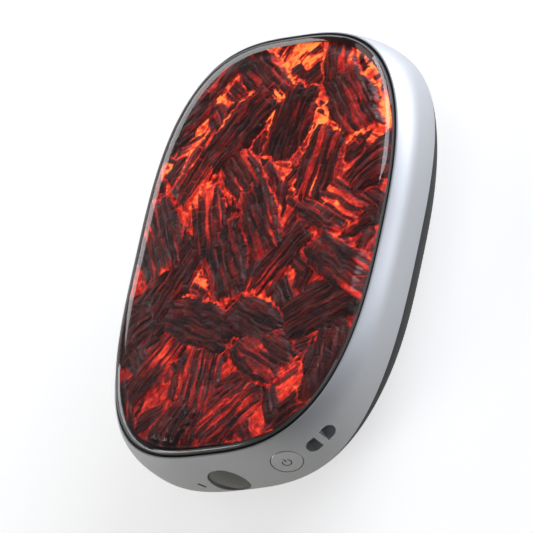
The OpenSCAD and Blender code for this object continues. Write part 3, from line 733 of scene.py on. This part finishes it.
def ember_fields(x, y, half_a, half_b, looks):
    """Height in mm of the bed over its sheet, and its masks; x and y in mm."""
    top, own, near = np.zeros_like(x), np.full_like(x, 1.3), np.full_like(x, 9.0)
    along, across, owner = x * 0.6 + y * 0.8, y * 0.6 - x * 0.8, np.zeros_like(x)
    ragged = 0.20 * (lattice_noise(x * 0.6, y * 0.6, 3) - 0.5)
    ragged += 0.10 * (lattice_noise(x * 2.3, y * 2.3, 4) - 0.5)
    rows, columns, tall = looks.rows, looks.columns, looks.coal_height / MM
    coals = coal_layout(half_a, half_b, rows, columns, tall)
    coals += coal_layout(half_a, half_b, 2 * rows, 2 * columns, 0.4 * tall, first=101)
    gauges = []
    for coal in coals:
        u, v, gauge = coal.local(x, y)
        gauge = gauge + ragged
        rise = coal.rise(u, gauge)
        above = rise > top
        top, own = np.where(above, rise, top), np.where(above, gauge, own)
        along, across = np.where(above, u, along), np.where(above, v, across)
        owner = np.where(above, coal.number, owner)
        gauges.append(gauge)
    for coal, gauge in zip(coals, gauges):
        beside = (gauge >= 1) & (top < coal.height * coal.SHOULDER)
        near = np.minimum(near, np.where(beside, gauge, 9.0))
    bend = lattice_noise(x * 0.45, y * 0.45, 5) - 0.5
    across = across + 0.7 * bend
    grain = lattice_noise(along * 0.22 + owner * 7.3, across * 2.2, 9)
    thread = lattice_noise(along * 0.5 + owner * 2.9, across * 4.2, 10)
    streak = lattice_noise(along * 0.13 + owner * 3.1, across * 1.15, 15)
    # Checks in the char: uneven blocks across each piece's grain
    strip = across / 1.9 + owner * 0.37
    row = np.floor(strip)
    block = (along + 1.6 * bend) / 3.4 + row * 0.43 + owner * 0.71
    check = np.minimum(
        np.abs(block - np.round(block)) * 3.4, np.abs(strip - np.round(strip)) * 1.9
    )
    cover = smooth(top, 0.0, 0.35)
    fleck = lattice_noise(x * 1.1, y * 1.1, 27)
    split = 0.16 * np.exp(-((check / 0.2) ** 2))
    height = top + cover * (0.22 * (grain - 0.5) + 0.12 * (thread - 0.5) - split)
    height += 0.30 * fleck * (1 - cover)
    # Heat lies in the gaps, licks up the flanks and runs along the grain of the hot pieces
    region = 0.6 * lattice_noise(x * 0.07 + 3, y * 0.07 + 8, 21)
    region += 0.55 * lattice_noise(x * 0.16, y * 0.16, 22)
    hot = smooth(region + 0.20 * (y / half_b), 0.25, 0.80)
    alive = 0.5 + 0.5 * np.sin(owner * 12.9898)
    gap = np.exp(-(((near - 1) / 0.10) ** 2)) * (0.50 + 0.65 * hot)
    flank = smooth(own, 0.86, 1.02) * (0.45 + 0.50 * hot) * (0.4 + 0.6 * alive)
    licks = smooth(streak + 0.25 * (thread - 0.5), 0.50, 0.78) * (0.22 + 0.70 * hot * alive)
    cracks = np.exp(-((check / 0.15) ** 2)) * (0.10 + 0.65 * hot * alive)
    floor = (1 - cover) * (0.42 + 0.30 * hot + 0.25 * smooth(fleck, 0.35, 0.75))
    gap *= 0.55 + 0.7 * fleck
    warmth = np.maximum.reduce([gap, flank * (0.4 + grain), licks, cracks, floor])
    warmth *= 0.62 + 0.55 * lattice_noise(x * 2.2, y * 2.2, 33) + 0.25 * (thread - 0.5)
    spark = smooth(lattice_noise(x * 0.5 + 9, y * 0.5, 35), 0.72, 0.95) * hot
    warmth = np.clip(warmth + 0.45 * spark * (warmth > 0.35), 0, 1)
    warmth *= 0.90 + 0.26 * y / half_b
    # Ash on the tops of the pieces, away from the heat; its bluish grey is also a painted
    # highlight, standing in for glints
    ash_and_glint = smooth(lattice_noise(x * 0.55 + 5, y * 0.55, 41) * (0.55 + 0.6 * grain), 0.55, 0.8)
    ash_and_glint *= 0.3 * (1 - warmth) * cover
    tone = np.clip(0.30 + 0.45 * alive * hot + 1.0 * (grain - 0.45) + 0.5 * (thread - 0.5), 0, 1)
    masks = {"warmth": warmth, "ash_and_glint": ash_and_glint, "tone": tone, "along": along, "across": across}
    return height, masks


def ember_mesh(form, looks):
    """The bed as a fine sheet: bent like the ledge it lies on, with the pieces' relief."""
    sizes = form.s
    loose = 0.3 * MM
    reach = sizes.gasket + GLUE + sizes.lens_wall + loose
    half_a, half_b = form.rim_a - reach, form.rim_b - reach
    flat_share = (form.rim_a - sizes.ledge - sizes.seam) / half_a
    step = 0.22 * MM
    xs = np.arange(-half_a, half_a + step, step)
    ys = np.arange(-half_b, half_b + step, step)
    x, y = np.meshgrid(xs, ys)
    share = form.share(x, y, half_a, half_b)
    height, masks = ember_fields(x / MM, y / MM, half_a / MM, half_b / MM, looks)
    # The relief runs out towards the bed's edge
    height *= smooth(share, 0.99, 0.94)
    inner = y * np.minimum(1, flat_share / np.maximum(share, 0.01)) / (flat_share * half_b)
    sheet = form.ledge_h + GLUE + sizes.ember_base
    limit = sizes.body_height - sizes.lens_crown - 2 * loose
    z = np.minimum(sheet + sizes.rim_lift * inner**2 + height * MM, limit)
    inside = share <= 1.0
    number = np.full(x.shape, -1)
    number[inside] = np.arange(inside.sum())
    points = np.column_stack([x[inside], y[inside], z[inside]])
    full = inside[:-1, :-1] & inside[1:, :-1] & inside[:-1, 1:] & inside[1:, 1:]
    faces = np.column_stack(
        [number[:-1, :-1][full], number[:-1, 1:][full], number[1:, 1:][full], number[1:, :-1][full]]
    )
    thing = mesh_object("ember_bed", (points, faces.tolist()))
    for name, values in masks.items():
        layer = thing.data.attributes.new(name, "FLOAT", "POINT")
        layer.data.foreach_set("value", values[inside].astype(np.float32))
    return thing


# Pieces


class WarmerOperator:
    bl_options = {"REGISTER", "UNDO"}

    @staticmethod
    def given(context):
        """The form with its sizes, and the looks, as they are set in the sidebar."""
        form = Form(context.scene.warmer_sizes)
        return form, form.s, context.scene.warmer_looks


class AddFrame(WarmerOperator, Operator):
    """Adds the silver frame with its seat for the lens, pocket, button hole and lanyard slot"""

    bl_idname = "warmer.add_frame"
    bl_label = "Frame"

    WINDOW_LEAN = 118

    def execute(self, context):
        form, s, looks = self.given(context)
        under = form.ledge_h - s.ledge_thickness
        lip_a, lip_b = form.rim_a - s.ledge, form.rim_b - s.ledge
        rings = [form.skin_ring(h) for h in spread(s.part_height, form.skin_top, 26)]
        for turn in np.radians([60, 75, 90]):
            out = s.shoulder * math.cos(turn)
            up = s.rim_height - s.shoulder + s.shoulder * math.sin(turn)
            rings.append(form.ring(form.rim_a + out, form.rim_b + out, up, s.rim_lift))
        wall_a = float(form.side_a(under)) - s.frame_wall
        wall_b = float(form.end_b(under + s.rim_lift)) - s.frame_wall
        rings += [
            form.ring(form.rim_a, form.rim_b, form.ledge_h, s.rim_lift),
            form.ring(lip_a, lip_b, form.ledge_h, s.rim_lift),
            form.ring(lip_a, lip_b, under, s.rim_lift),
            form.ring(wall_a, wall_b, under, s.rim_lift),
        ]
        low = under - s.ledge_thickness
        rings += [form.skin_ring(h, s.frame_wall) for h in spread(low, s.part_height, 8)]
        thing = mesh_object("silver_frame", hoop(rings))
        port, slot = form.port(), form.wall(s.slot_place, s.slot_height)
        button = form.wall(s.button_place, s.button_height)
        window = form.wall(s.window_place, s.window_height)
        wall = 1.4 * MM
        pocket, floor = s.plug_diameter / 2 + CLEAR, -s.pocket_depth

        def half_slot(side):
            return half_stadium(s.slot_length, s.slot_width, s.bar_width / 2, side)

        boss_wall = 0.8 * MM
        boss = stadium(s.slot_length + 2 * boss_wall, s.slot_width + 2 * boss_wall)
        combine(
            thing,
            [
                moved(rod(pocket + wall, floor - 1.5 * MM, -wall), port),
                moved(prism(boss, -s.slot_depth - boss_wall, -wall), slot),
            ],
            "UNION",
        )
        leg = port @ Matrix.Translation((0, -s.leg_drop, 0))
        behind = oblong(s.bar_width + 0.2 * MM, s.slot_width)
        lean = Matrix.Rotation(math.radians(self.WINDOW_LEAN), 4, "Z")
        opening = stadium(s.window_length + 0.1 * MM, s.window_width + 0.1 * MM)
        combine(
            thing,
            [
                moved(rod(pocket, floor, BEYOND), port),
                moved(prism(stadium(*SOCKET_MOUTH), floor - BEYOND, floor + HAIR), port),
                moved(rod(s.leg_diameter / 2 + 0.2 * MM, floor - BEYOND, floor + HAIR), leg),
                moved(rod(s.button_diameter / 2 + CLEAR, -BEYOND, BEYOND), button),
                moved(prism(opening, -4 * MM, BEYOND), window @ lean),
                moved(prism(half_slot(1), -s.slot_depth, BEYOND), slot),
                moved(prism(half_slot(-1), -s.slot_depth, BEYOND), slot),
                moved(prism(behind, -s.slot_depth, -s.bar_thickness), slot),
            ],
            "DIFFERENCE",
        )
        paint = plain_finish(
            "silver_paint", looks.silver, rough=0.52, metallic=0.45, mottle=0.03,
            mottle_scale=40.0, grain=4200.0, bump=0.03, uneven=0.05,
        )
        finish_piece(thing, "body", paint, ["mid_frame"], sharp=30)
        self.leave_bare(thing, form, slot)
        return {"FINISHED"}

    @staticmethod
    def leave_bare(thing, form, slot):
        """The lens seat keeps its unpainted plastic; the bottom of the lanyard slot gets a darker
        grey, a painted shade for the recess.
        """
        greys = {"seat_plastic": (0.10, 0.10, 0.102), "slot_plastic": (0.50, 0.50, 0.505)}
        for name, grey in greys.items():
            bare = plain_finish(name, grey, rough=0.50, grain=2600.0, bump=0.10)
            thing.data.materials.append(bare)
        s, back = form.s, slot.inverted()
        half_x, half_y = 1.01 * s.slot_length / 2, 1.01 * s.slot_width / 2
        for face in thing.data.polygons:
            x, y, z = face.center
            local = back @ face.center
            in_slot = abs(local.x) < half_x and abs(local.y) < half_y
            if form.share(x, y, form.rim_a, form.rim_b) < 1.0003 and z > form.ledge_h - MM:
                face.material_index = 1
            # The slot's bottom: a grey darker than the silver, painted shade in the recess
            elif in_slot and -1.05 * s.slot_depth < local.z < -0.9 * s.slot_depth:
                face.material_index = 2


class AddBackShell(WarmerOperator, Operator):
    """Adds the dark back shell with its flat foot and the tongue that locates it"""

    bl_idname = "warmer.add_back_shell"
    bl_label = "Back shell"

    def execute(self, context):
        form, s, looks = self.given(context)
        top, tongue = s.part_height - s.seam, 1.4 * MM
        outer = s.frame_wall + CLEAR
        inner = outer + MM
        rings = [form.skin_ring(h) for h in spread(0, top, 30)]
        rings += [
            form.skin_ring(top, outer),
            form.skin_ring(s.part_height + tongue, outer),
            form.skin_ring(s.part_height + tongue, inner),
            form.skin_ring(s.part_height - tongue, inner),
        ]
        low = form.end_h(s.part_height - tongue) - MM
        rings += [form.hollow_ring(z) for z in spread(low, s.back_wall, 6)]
        thing = mesh_object("back_shell", skin(rings, (0, 0, 0), (0, 0, s.back_wall)))
        relief = rod(s.plug_diameter / 2 + 1.7 * MM, -5.1 * MM, -1.6 * MM)
        combine(thing, [moved(relief, form.port())], "DIFFERENCE")
        shell = plain_finish(
            "shell_plastic", looks.shell, rough=0.46, mottle=0.10, mottle_scale=70.0,
            grain=3200.0, bump=0.22, uneven=0.10,
        )
        finish_piece(thing, "body", shell, ["back_cover"])
        return {"FINISHED"}


class AddLens(WarmerOperator, Operator):
    """Adds the clear lens with its rounded edge, and the black gasket round it"""

    bl_idname = "warmer.add_lens"
    bl_label = "Lens and gasket"

    @staticmethod
    def dome(form, share, a, b, crown):
        x, y = form.oval(a, b)
        edge = form.s.rim_height + form.s.rim_lift * (y / b) ** 2
        rise = (1 - share**10) ** 0.5
        return np.column_stack([x * share, y * share, edge + (crown - edge) * rise])

    def execute(self, context):
        form, s, _ = self.given(context)
        a, b = form.rim_a - s.gasket - GLUE, form.rim_b - s.gasket - GLUE
        foot = form.ledge_h + GLUE
        rings = [
            form.ring(share * a, share * b, foot, s.rim_lift * share**2)
            for share in (0.3, 0.6, 0.8, 0.9, 1.0)
        ]
        outer = [1.0] + [math.cos(t) ** 0.2 for t in np.radians(np.linspace(6, 84, 16))]
        rings += [self.dome(form, share, a, b, s.body_height) for share in outer + [0.5, 0.3]]
        thing = mesh_object("clear_lens", skin(rings, (0, 0, foot), (0, 0, s.body_height)))
        finish_piece(thing, "body", lens_finish(), ["front_lens"], sharp=50)
        # The side wall gets grey paint, a painted reflection of the lens's dark rim
        self.paint_rim_reflection(thing, form, a, b)
        high, soft = s.rim_height - 0.1 * MM, 0.1 * MM
        out_a, out_b = form.rim_a - GLUE, form.rim_b - GLUE
        rings = [
            form.ring(*place, s.rim_lift)
            for place in (
                (out_a, out_b, foot),
                (out_a, out_b, high - soft),
                (out_a - soft, out_b - soft, high),
                (a + soft, b + soft, high),
                (a + HAIR, b + HAIR, high - soft),
                (a + HAIR, b + HAIR, foot),
            )
        ]
        seal = mesh_object("lens_seal", hoop(rings))
        rubber = plain_finish("gasket_rubber", (0.022, 0.018, 0.018), rough=0.42, bump=0.06)
        finish_piece(seal, "body", rubber, ["lens_gasket"])
        return {"FINISHED"}

    @staticmethod
    def paint_rim_reflection(thing, form, a, b):
        """The lens's side wall is painted grey with a glossy coat: a painted reflection standing in
        for the dark band along the lens's rim, made wider at the ends.
        """
        # Grey that stands in for the dark reflection in the lens's rim
        grey = plain_finish("lens_edge", (0.14, 0.14, 0.141), rough=0.30, bump=0.03, coat=1.0)
        thing.data.materials.append(grey)
        for face in thing.data.polygons:
            x, y = face.center.xy
            if form.share(x, y, a, b) > 0.998 - 0.012 * (y / b) ** 6 and abs(face.normal.z) < 0.9:
                face.material_index = 1


class AddEmbers(WarmerOperator, Operator):
    """Adds the bed of charred wood with glowing cracks under the lens"""

    bl_idname = "warmer.add_embers"
    bl_label = "Ember bed"

    def execute(self, context):
        form, _, looks = self.given(context)
        thing = ember_mesh(form, looks)
        finish_piece(thing, "body", ember_finish(looks), ["ember_panel"], sharp=60)
        return {"FINISHED"}


class AddButton(WarmerOperator, Operator):
    """Adds the power button, whose face follows the frame, and its mark"""

    bl_idname = "warmer.add_button"
    bl_label = "Power button"

    def execute(self, context):
        form, s, looks = self.given(context)
        place = form.wall(s.button_place, s.button_height)
        radius, edge, count = s.button_diameter / 2, 0.22 * MM, 96
        turn = np.arange(count) * 2 * math.pi / count
        circle = np.column_stack([np.cos(turn), np.sin(turn)])
        rings = [
            np.column_stack([r * MM * circle, np.full(count, z * MM)])
            for r, z in ((1.7, -5.0), (1.7, -3.8), (3.0, -3.8), (3.0, -3.0), (3.49, -3.0))
        ]
        rounded = [
            (radius - edge + edge * math.cos(t), edge * math.sin(t) - edge)
            for t in np.radians([0, 22, 45, 68, 90])
        ]
        for r, drop in rounded + [(share * (radius - edge), 0) for share in (0.8, 0.6, 0.4, 0.2)]:
            flat = r * circle
            rings.append(np.column_stack([flat, form.on_skin(place, flat) + drop]))
        middle = (0, 0, float(form.on_skin(place, [(0, 0)])[0]))
        cap = mesh_object("power_cap", moved(skin(rings, (0, 0, -5 * MM), middle), place))
        paint = plain_finish(
            "button_paint", looks.silver, rough=0.30, metallic=0.55, mottle=0.03,
            grain=4200.0, bump=0.03,
        )
        finish_piece(cap, "button", paint, ["power_button"], sharp=40)
        mark = mesh_object("power_mark", moved(self.mark(form, place), place))
        ink = plain_finish("mark_ink", looks.mark, rough=0.5, bump=0.03)
        finish_piece(mark, "button", ink)
        return {"FINISHED"}

    @staticmethod
    def mark(form, place):
        """An open ring with a bar in its gap, a hair proud of the cap."""
        gap, outer, inner, bar = math.radians(38), 1.12 * MM, 0.86 * MM, 0.14 * MM
        turns = np.linspace(math.pi / 2 + gap, 2.5 * math.pi - gap, 40)
        flat = [(r * math.cos(t), r * math.sin(t)) for t in turns for r in (inner, outer)]
        rows = np.linspace(0.28 * MM, 1.3 * MM, 8)
        faces = ribbon_faces(0, len(turns)) + ribbon_faces(len(flat), len(rows))
        flat = np.array(flat + [(side * bar, y) for y in rows for side in (-1, 1)])
        return np.column_stack([flat, form.on_skin(place, flat) + 0.015 * MM]), faces


class AddPlug(WarmerOperator, Operator):
    """Adds the round rubber plug over the charging port, with its nose and leg"""

    bl_idname = "warmer.add_plug"
    bl_label = "Port plug"

    def execute(self, context):
        form, s, looks = self.given(context)
        radius, edge = s.plug_diameter / 2, 0.3 * MM
        back = -s.pocket_depth + 0.1 * MM
        flat = radius - edge
        globe = (flat**2 + s.plug_rise**2) / (2 * s.plug_rise)
        profile = [(0, back), (radius, back)]
        for t in np.radians([0, 20, 40, 60, 80]):
            profile.append((flat + edge * math.cos(t), -s.plug_rise - edge + edge * math.sin(t)))
        for share in (0.97, 0.9, 0.8, 0.65, 0.5, 0.35, 0.2, 0.1):
            r = flat * share
            profile.append((r, math.sqrt(globe**2 - r**2) - globe))
        profile.append((0, 0))
        plug = mesh_object("plug_dome", moved(revolve(profile), form.port()))
        nose = prism(stadium(*PLUG_NOSE), back - 3 * MM, back + HAIR)
        hollow = prism(oblong(7 * MM, MM), back - 4 * MM, back - MM)
        leg_r, leg_reach, barb = s.leg_diameter / 2, 9.6 * MM, 0.3 * MM
        tip = -s.pocket_depth - leg_reach
        low, high = tip - 1.6 * MM, back + HAIR
        outline = [(0, low), (leg_r, low), (leg_r + barb, tip)]
        outline += [(leg_r, tip), (leg_r, high), (0, high)]
        leg = revolve(outline, 32)
        down = form.port() @ Matrix.Translation((0, -s.leg_drop, 0))
        combine(plug, [moved(nose, form.port()), moved(leg, down)], "UNION")
        combine(plug, [moved(hollow, form.port())], "DIFFERENCE")
        rubber = plain_finish(
            "plug_rubber", looks.plug, rough=0.36, mottle=0.06, grain=3000.0, bump=0.06, coat=0.35
        )
        finish_piece(plug, "plug", rubber, ["port_plug"], sharp=40)
        return {"FINISHED"}


class DressInside(WarmerOperator, Operator):
    """Gives every other node of the warmer its own finish"""

    bl_idname = "warmer.dress_inside"
    bl_label = "Inner parts"

    def execute(self, context):
        for name, (base, rough, metallic, grain, bump) in INSIDE.items():
            finish = plain_finish(
                name + "_finish", base, rough=rough, metallic=metallic, grain=grain, bump=bump
            )
            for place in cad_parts[name].material_slots:
                place.material = finish
        return {"FINISHED"}


# Stage


def softbox(name, place, target, size, power, tint):
    light = bpy.data.lights.new(name, "AREA")
    light.shape = "RECTANGLE"
    light.size, light.size_y = size
    light.energy = power
    light.color = tint
    thing = bpy.data.objects.new(name, light)
    thing.location = place
    thing.rotation_euler = (Vector(target) - Vector(place)).to_track_quat("-Z", "Y").to_euler()
    bpy.context.scene.collection.objects.link(thing)


class AddStage(WarmerOperator, Operator):
    """Adds the pale floor, the soft lights, the surrounding light and the camera"""

    bl_idname = "warmer.add_stage"
    bl_label = "Stage"

    # Solved from the photograph: an axis times an angle, and the point looked at
    CAMERA_TURN = (2.531, 0.073, -0.931)
    CAMERA_AIM = Vector((0, 0, 0.0198))
    CENTRE = (0, 0, 0.012)
    # Place, size, power and tint of each soft light
    LIGHTS = {
        "key_light": ((0.95, 1.50, 0.34), (2.0, 1.0), 45, (0.875, 0.915, 1.0)),
        "back_light": ((0.2, 1.7, 0.9), (1.8, 1.0), 8, (0.97, 0.985, 1.0)),
        "rim_light": ((-1.05, -0.20, 0.16), (1.1, 0.24), 2.4, (1, 1, 1)),
        "edge_light": ((-0.80, -0.80, 0.50), (0.7, 0.10), 2.3, (1.0, 0.98, 0.93)),
        "glint_light": ((-1.05, 0.80, 0.36), (0.8, 0.4), 3.0, (1, 1, 1)),
    }

    def floor(self):
        size, low = 6.0, CAD_LOW[2] - 0.00005
        points = [(-size, -size, low), (size, -size, low), (size, size, low), (-size, size, low)]
        thing = mesh_object("stage_floor", (np.array(points), [(0, 1, 2, 3)]))
        material, tree, shader = new_tree("stage_floor")
        seen = add(tree, "LightPath").outputs["Is Camera Ray"]
        wire(
            tree,
            shader,
            Base_Color=blend(tree, seen, (0.72, 0.71, 0.69), (0.93, 0.93, 0.93)),
            Emission_Color=blend(tree, seen, (0.160, 0.153, 0.132), (0.62, 0.62, 0.62)),
            Emission_Strength=1.0,
            Roughness=0.9,
            Specular_IOR_Level=0.0,
        )
        thing.data.materials.append(material)

    def surroundings(self, context):
        world = bpy.data.worlds.new("studio")
        context.scene.world = world
        world.use_nodes = True
        tree = world.node_tree
        seen = add(tree, "LightPath").outputs["Is Camera Ray"]
        tone = blend(tree, seen, (0.045, 0.046, 0.05), (1, 1, 1))
        wire(tree, tree.nodes["Background"], Color=tone)

    def camera(self, context):
        """Stands where the photograph was taken from, far off with a long lens."""
        turn = Vector(self.CAMERA_TURN)
        away = Matrix.Rotation(turn.length, 3, turn.normalized())
        right, up, ahead = away[0], -away[1], away[2]
        half, span, scale, pixels = CAD_HIGH[1], 40.0, 242.095, 533
        sideways, upright = 8.679 / scale, -17.459 / scale
        lens = bpy.data.cameras.new("photo_camera")
        lens.sensor_width = 36
        lens.lens = lens.sensor_width * scale * span / pixels
        lens.clip_end = 50
        thing = bpy.data.objects.new("photo_camera", lens)
        context.scene.collection.objects.link(thing)
        place = half * (sideways * right + upright * up - span * ahead)
        turned = Matrix((right, up, -ahead)).transposed().to_4x4()
        thing.matrix_world = Matrix.Translation(place + self.CAMERA_AIM) @ turned
        context.scene.camera = thing

    def execute(self, context):
        self.floor()
        self.surroundings(context)
        self.camera(context)
        for name, (place, size, power, tint) in self.LIGHTS.items():
            softbox(name, place, self.CENTRE, size, power, tint)
        context.scene.view_settings.view_transform = "Standard"
        return {"FINISHED"}


class WarmerPanel(Panel):
    """Lists the steps that build the hand warmer"""

    bl_idname = "VIEW3D_PT_hand_warmer"
    bl_label = "Hand Warmer"
    bl_space_type = "VIEW_3D"
    bl_region_type = "UI"
    bl_category = "Hand Warmer"

    def draw(self, context):
        for step in STEPS:
            self.layout.operator(step.bl_idname)
        for group in (context.scene.warmer_sizes, context.scene.warmer_looks):
            column = self.layout.column()
            for name in group.__annotations__:
                column.prop(group, name)


STEPS = (AddFrame, AddBackShell, AddLens, AddEmbers, AddButton, AddPlug, DressInside, AddStage)
CLASSES = (WarmerSizes, WarmerLooks, *STEPS, WarmerPanel)


def register():
    for item in CLASSES:
        bpy.utils.register_class(item)
    bpy.types.Scene.warmer_sizes = PointerProperty(type=WarmerSizes)
    bpy.types.Scene.warmer_looks = PointerProperty(type=WarmerLooks)


def unregister():
    del bpy.types.Scene.warmer_looks
    del bpy.types.Scene.warmer_sizes
    for item in reversed(CLASSES):
        bpy.utils.unregister_class(item)


def main():
    register()
    for step in STEPS:
        area, name = step.bl_idname.split(".")
        getattr(getattr(bpy.ops, area), name)()


if __name__ == "__main__":
    main()
